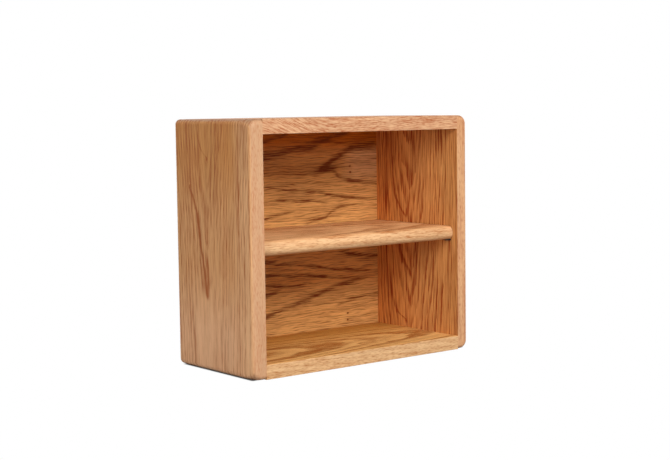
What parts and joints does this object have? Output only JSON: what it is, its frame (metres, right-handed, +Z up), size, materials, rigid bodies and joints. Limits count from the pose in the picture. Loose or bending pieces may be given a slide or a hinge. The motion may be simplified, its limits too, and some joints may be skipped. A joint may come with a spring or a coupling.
{
  "type": "cd storage cabinet",
  "caption": "Small open-front oak case for compact discs with rounded outer edges and a loose middle shelf on hidden metal supports; stands on a table.",
  "frame": {"origin": "middle of the case's footprint, on the surface it stands on", "axes": "+Z up, +X across the front to the right as seen by someone facing the open side, +Y from the open front to the back panel"},
  "size_m": [0.3714, 0.1778, 0.3302],
  "materials": {
    "oak_sides": "satin clear lacquer on solid red oak, grain upright",
    "oak_top_and_bottom": "satin clear lacquer on solid red oak, grain across",
    "oak_shelf": "satin clear lacquer on solid red oak, grain across",
    "oak_plywood": "satin clear lacquer on red oak veneer, grain across",
    "dark_metal": "dark bronze, satin",
    "birch_dowel": "bare birch",
    "steel_brads": "plain steel"
  },
  "bodies": {
    "case": {"side_left": "oak_sides", "side_right": "oak_sides", "top_board": "oak_top_and_bottom", "bottom_board": "oak_top_and_bottom", "back_panel": "oak_plywood", "back_brads": "steel_brads", "support_front_left": "dark_metal", "support_back_left": "dark_metal", "support_front_right": "dark_metal", "support_back_right": "dark_metal", "dowel_top_left_front": "birch_dowel", "dowel_top_left_middle": "birch_dowel", "dowel_top_left_back": "birch_dowel", "dowel_bottom_left_front": "birch_dowel", "dowel_bottom_left_middle": "birch_dowel", "dowel_bottom_left_back": "birch_dowel", "dowel_top_right_front": "birch_dowel", "dowel_top_right_middle": "birch_dowel", "dowel_top_right_back": "birch_dowel", "dowel_bottom_right_front": "birch_dowel", "dowel_bottom_right_middle": "birch_dowel", "dowel_bottom_right_back": "birch_dowel"},
    "loose_shelf": {"shelf": "oak_shelf"}
  },
  "joints": [
    {"name": "shelf_pull_out", "type": "slide", "parent": "case", "child": "loose_shelf", "axis": [0, -1, 0], "range_m": [0, 0.18]}
  ]
}
